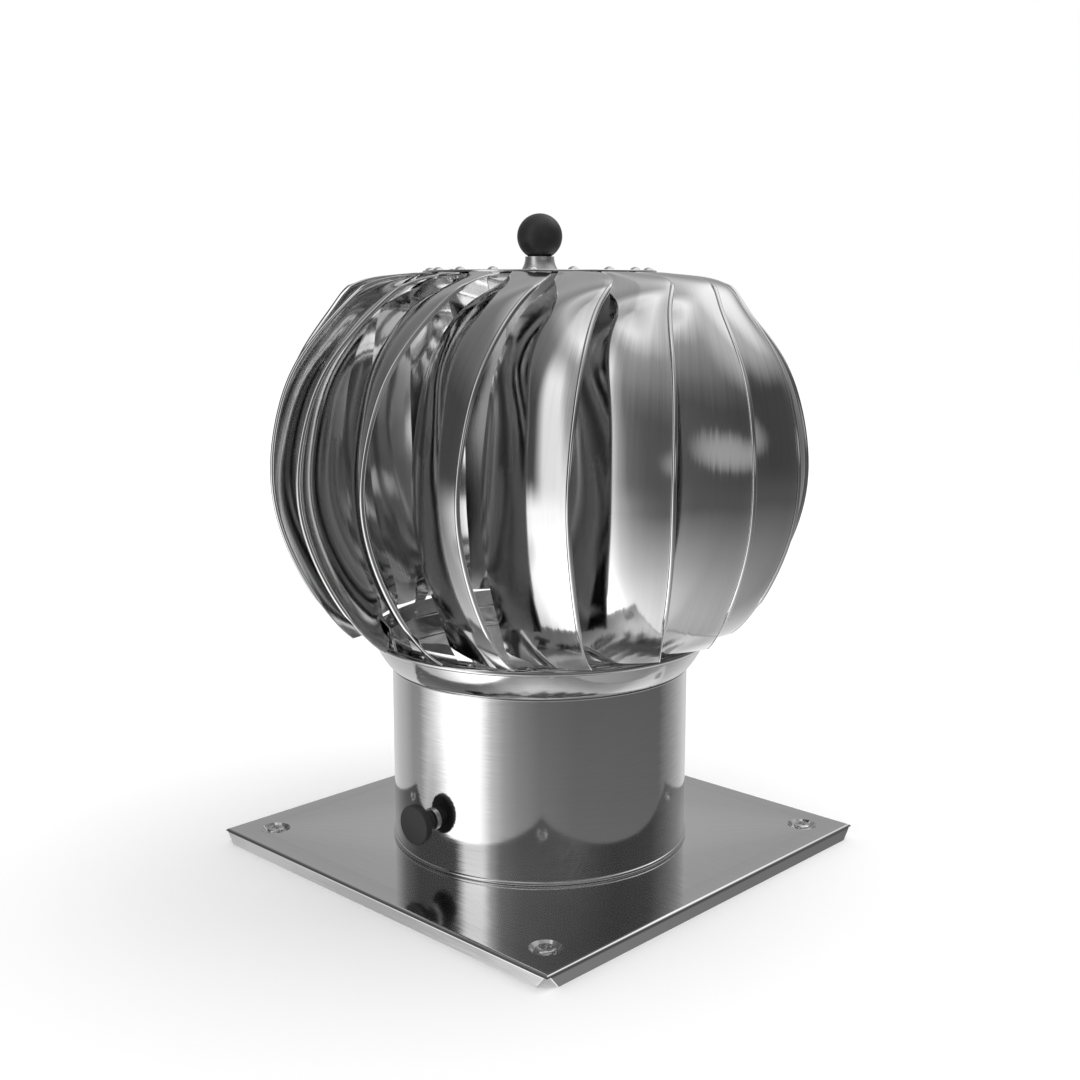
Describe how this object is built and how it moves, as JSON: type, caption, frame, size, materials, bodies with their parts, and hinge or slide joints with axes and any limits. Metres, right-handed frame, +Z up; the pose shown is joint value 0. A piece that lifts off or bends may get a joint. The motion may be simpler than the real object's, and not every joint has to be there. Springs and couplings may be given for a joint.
{
  "type": "turbine roof vent",
  "caption": "Wind-driven turbine roof vent: cupped hemmed vanes on a bearing hub over a round neck, with a lock knob and a square folded flashing plate.",
  "frame": {"origin": "on the turbine axis, in the plane that the plate's folded edges stand on", "axes": "+Z up along the turbine axis; X and Y along the plate's sides; the lock knob faces -Y"},
  "size_m": [0.266, 0.2628, 0.3203],
  "materials": {
    "polished_sheet": "bright polished stainless sheet with a fine grain",
    "fastener_steel": "plain bright",
    "machined_steel": "machined satin",
    "bearing_steel": "ground",
    "black_plastic": "matte moulded"
  },
  "bodies": {
    "roof_base": {"base_plate": "polished_sheet", "corner_screws": "fastener_steel", "corner_nuts": "fastener_steel", "base_collar": "polished_sheet", "neck_sleeve": "polished_sheet", "rim_ring": "polished_sheet", "lock_insert": "fastener_steel", "shaft_bracket": "machined_steel", "shaft_nuts": "fastener_steel", "shaft_washers": "fastener_steel", "rotor_shaft": "machined_steel", "shaft_circlips": "bearing_steel", "upper_bearing_inner": "bearing_steel", "lower_bearing_inner": "bearing_steel"},
    "turbine": {"hub_tube": "machined_steel", "hub_plate": "polished_sheet", "top_disc": "polished_sheet", "top_rivets": "fastener_steel", "top_boss": "polished_sheet", "ball_knob": "black_plastic", "ball_stud": "fastener_steel", "stud_nut": "fastener_steel", "upper_bearing_outer": "bearing_steel", "lower_bearing_outer": "bearing_steel", "hub_circlips": "bearing_steel", "lower_ring": "polished_sheet", "ring_rivets": "fastener_steel", "vane_01": "polished_sheet", "vane_02": "polished_sheet", "vane_03": "polished_sheet", "vane_04": "polished_sheet", "vane_05": "polished_sheet", "vane_06": "polished_sheet", "vane_07": "polished_sheet", "vane_08": "polished_sheet", "vane_09": "polished_sheet", "vane_10": "polished_sheet", "vane_11": "polished_sheet", "vane_12": "polished_sheet", "vane_13": "polished_sheet", "vane_14": "polished_sheet", "vane_15": "polished_sheet", "vane_16": "polished_sheet", "vane_17": "polished_sheet", "vane_18": "polished_sheet"},
    "lock_slide": {"lock_pad": "fastener_steel"},
    "lock_handle": {"lock_knob": "black_plastic", "lock_screw": "fastener_steel"}
  },
  "joints": [
    {"name": "turbine_spin", "type": "hinge", "parent": "roof_base", "child": "turbine", "pos_m": [0, 0, 0.2], "axis": [0, 0, 1], "continuous": true},
    {"name": "lock_travel", "type": "slide", "parent": "roof_base", "child": "lock_slide", "axis": [0, -1, 0], "range_m": [0, 0.0024]},
    {"name": "lock_turn", "type": "hinge", "parent": "lock_slide", "child": "lock_handle", "pos_m": [0, -0.087, 0.032], "axis": [0, -1, 0], "range_deg": [0, 1079]}
  ],
  "couplings": [
    {"joint": "lock_travel", "follows": "lock_turn", "m_per_rad": 0.00012732}
  ]
}
